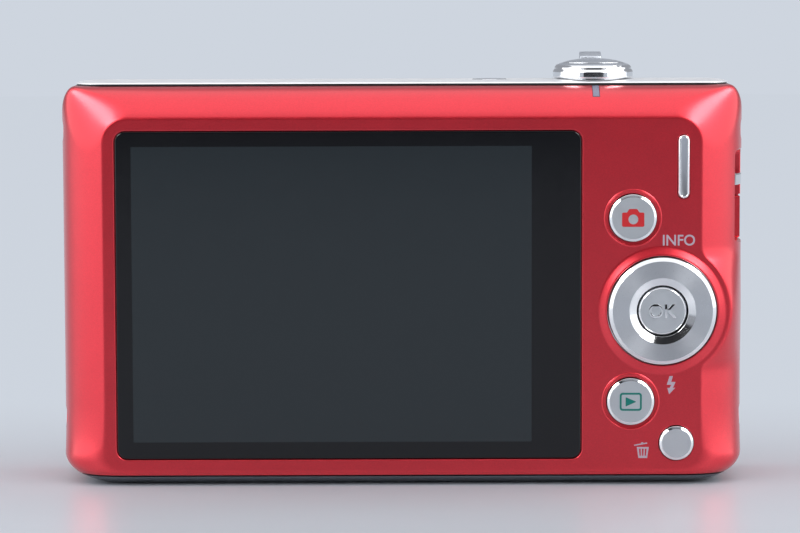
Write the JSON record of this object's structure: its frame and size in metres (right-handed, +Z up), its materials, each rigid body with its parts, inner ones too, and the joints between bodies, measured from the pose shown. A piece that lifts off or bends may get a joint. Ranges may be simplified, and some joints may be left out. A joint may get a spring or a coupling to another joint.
{
  "type": "compact digital camera",
  "caption": "Slim compact digital camera with a red metallic shell, telescoping lens, large rear screen, four-way pad, zoom lever and battery door in the base.",
  "frame": {"origin": "on the base, in the middle of the overall box", "axes": "+Z up, lens along -Y, screen facing +Y, +X along the width, to the left seen from behind"},
  "size_m": [0.0962, 0.0236, 0.0606],
  "materials": {
    "cover_red": "metallic lacquer under a clear coat",
    "plate_silver": "bright satin",
    "control_chrome": "spun satin face with polished edges",
    "barrel_silver": "satin anodised",
    "screen_glass": "clear over a black printed border",
    "lens_glass": "coated",
    "clear_plastic": "clear, frosted behind",
    "black_plastic": "moulded matt",
    "steel": "zinc plated",
    "board_green": "solder mask",
    "cell_grey": "smooth"
  },
  "bodies": {
    "body": {"back_cover": "cover_red", "front_cover": "cover_red", "display_window": "screen_glass", "thumb_rest": "control_chrome", "status_lamp": "clear_plastic", "flash_window": "clear_plastic", "focus_lamp": "clear_plastic", "top_plate": "plate_silver", "strap_bar": "control_chrome", "terminal_connector": "steel", "base_plate": "plate_silver", "battery_door_pin": "steel", "tripod_nut": "steel", "side_screw_left_lower": "steel", "side_screw_left_upper": "steel", "side_screw_right_lower": "steel", "side_screw_right_upper": "steel", "base_screw_1": "steel", "base_screw_2": "steel", "lens_ring": "control_chrome", "lens_housing": "black_plastic", "rear_lens": "lens_glass", "image_sensor": "board_green", "zoom_motor": "steel", "flash_reflector": "clear_plastic", "flash_tube": "lens_glass", "flash_capacitor": "black_plastic", "microphone": "steel", "speaker": "black_plastic", "battery_box": "black_plastic", "battery": "cell_grey", "memory_card": "cell_grey", "chassis": "steel", "main_board": "board_green", "screen_module": "cell_grey", "screen_cable": "black_plastic", "switch_board": "board_green", "top_switch_board": "board_green", "shutter_spring": "steel"},
    "zoom": {"zoom_lever": "control_chrome"},
    "shutter": {"shutter_button": "control_chrome"},
    "power": {"power_button": "control_chrome"},
    "record": {"record_button": "control_chrome"},
    "play": {"play_button": "control_chrome"},
    "delete": {"delete_button": "control_chrome"},
    "pad_carrier": {"control_carrier": "black_plastic"},
    "pad": {"control_ring": "control_chrome"},
    "set": {"set_button": "control_chrome"},
    "terminal_flap": {"terminal_door": "cover_red"},
    "battery_lid": {"battery_door": "plate_silver"},
    "latch": {"battery_latch": "black_plastic"},
    "barrel_1": {"barrel_outer": "barrel_silver"},
    "barrel_2": {"barrel_inner": "barrel_silver", "front_lens": "lens_glass", "front_lens_cell": "black_plastic"},
    "blade_upper": {"lens_blade_upper": "black_plastic"},
    "blade_lower": {"lens_blade_lower": "black_plastic"}
  },
  "joints": [
    {"name": "zoom_turn", "type": "hinge", "parent": "body", "child": "zoom", "pos_m": [-0.02725, -0.0004, 0.05685], "axis": [0, 0, 1], "range_deg": [-15, 15], "stiffness_Nm_per_rad": 0.012},
    {"name": "shutter_press", "type": "slide", "parent": "body", "child": "shutter", "axis": [0, 0, -1], "range_m": [0, 0.0006], "stiffness_N_per_m": 1200, "springref_m": -0.0002, "deforming": ["shutter_spring"]},
    {"name": "power_press", "type": "slide", "parent": "body", "child": "power", "axis": [0, 0, -1], "range_m": [0, 0.0004], "stiffness_N_per_m": 2500, "springref_m": -0.0002},
    {"name": "record_press", "type": "slide", "parent": "body", "child": "record", "axis": [0, -1, 0], "range_m": [0, 0.0003], "stiffness_N_per_m": 3000, "springref_m": -0.0002},
    {"name": "play_press", "type": "slide", "parent": "body", "child": "play", "axis": [0, -1, 0], "range_m": [0, 0.0003], "stiffness_N_per_m": 3000, "springref_m": -0.0002},
    {"name": "delete_press", "type": "slide", "parent": "body", "child": "delete", "axis": [0, -1, 0], "range_m": [0, 0.0003], "stiffness_N_per_m": 3000, "springref_m": -0.0002},
    {"name": "set_press", "type": "slide", "parent": "body", "child": "set", "axis": [0, -1, 0], "range_m": [0, 0.0003], "stiffness_N_per_m": 3000, "springref_m": -0.0002},
    {"name": "pad_rock_up_down", "type": "hinge", "parent": "body", "child": "pad_carrier", "pos_m": [-0.0364, 0.0075, 0.0247], "axis": [1, 0, 0], "range_deg": [-2, 2], "stiffness_Nm_per_rad": 0.12},
    {"name": "pad_rock_sideways", "type": "hinge", "parent": "pad_carrier", "child": "pad", "pos_m": [-0.0364, 0.0075, 0.0247], "axis": [0, 0, 1], "range_deg": [-2, 2], "stiffness_Nm_per_rad": 0.12},
    {"name": "terminal_open", "type": "hinge", "parent": "body", "child": "terminal_flap", "pos_m": [-0.0476, 0.00035, 0.0373], "axis": [0, 0, 1], "range_deg": [0, 95]},
    {"name": "battery_door_open", "type": "hinge", "parent": "body", "child": "battery_lid", "pos_m": [-0.0246, -0.0054, 0.00085], "axis": [-1, 0, 0], "range_deg": [0, 90]},
    {"name": "latch_slide", "type": "slide", "parent": "battery_lid", "child": "latch", "axis": [1, 0, 0], "range_m": [0, 0.002]},
    {"name": "lens_extend", "type": "slide", "parent": "body", "child": "barrel_1", "axis": [0, -1, 0], "range_m": [0, 0.0085]},
    {"name": "lens_extend_inner", "type": "slide", "parent": "barrel_1", "child": "barrel_2", "axis": [0, -1, 0], "range_m": [0, 0.008]},
    {"name": "blade_upper_open", "type": "hinge", "parent": "barrel_2", "child": "blade_upper", "pos_m": [0.0082, -0.0106, 0.02705], "axis": [0, -1, 0], "range_deg": [0, 38]},
    {"name": "blade_lower_open", "type": "hinge", "parent": "barrel_2", "child": "blade_lower", "pos_m": [0.0248, -0.0106, 0.02705], "axis": [0, -1, 0], "range_deg": [0, 38]}
  ],
  "couplings": [
    {"joint": "lens_extend_inner", "follows": "lens_extend", "ratio": 0.94117},
    {"joint": "blade_upper_open", "follows": "lens_extend", "rad_per_m": 78},
    {"joint": "blade_lower_open", "follows": "lens_extend", "rad_per_m": 78}
  ]
}
